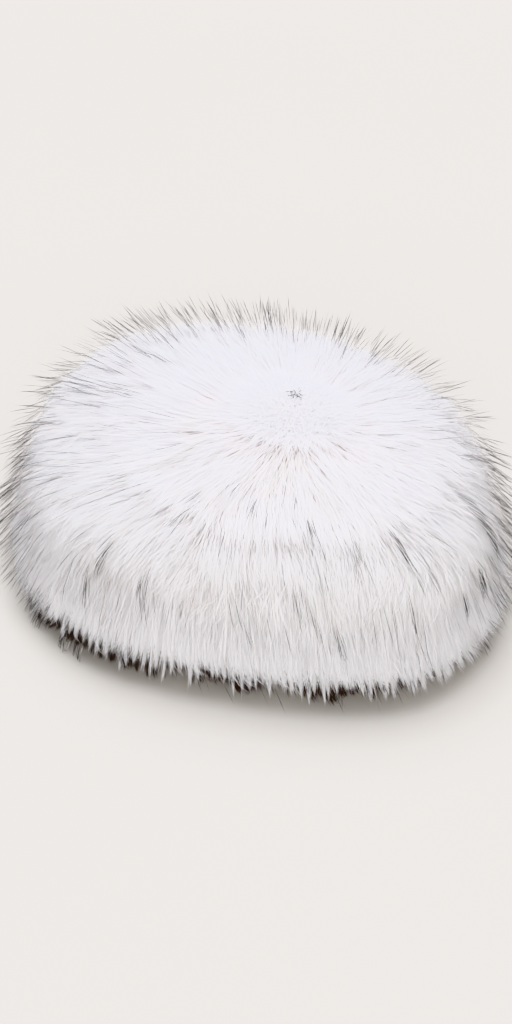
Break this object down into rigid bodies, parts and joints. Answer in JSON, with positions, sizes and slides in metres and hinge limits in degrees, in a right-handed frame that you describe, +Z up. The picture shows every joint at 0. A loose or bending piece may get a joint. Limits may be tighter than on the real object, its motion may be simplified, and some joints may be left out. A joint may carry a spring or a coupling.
{
  "type": "turkmen telpek hat",
  "caption": "Domed long-haired white fur hat with dark-tipped guard hairs, combed down from a crown whorl to a deep hem fringe round an open head hollow.",
  "frame": {"origin": "middle of the hat's outline seen from above, on the surface that its hem rests on", "axes": "+Z up through the crown, Y along the head's length with the front towards -Y, X across the head"},
  "size_m": [0.2642, 0.3188, 0.1253],
  "materials": {
    "pelt_leather": "suede side of the pelt, matt",
    "crown_pile": "long white fur combed out from a whorl, fine dark tips",
    "side_pile": "long white fur in hanging locks, cream at the roots, grey-black guard hair tips",
    "hem_pile": "white pointed locks over dark brown-grey under tufts"
  },
  "bodies": {
    "root": {"cap_skin": "pelt_leather", "crown_fur": "crown_pile", "side_fur": "side_pile", "hem_fur": "hem_pile"}
  },
  "joints": []
}
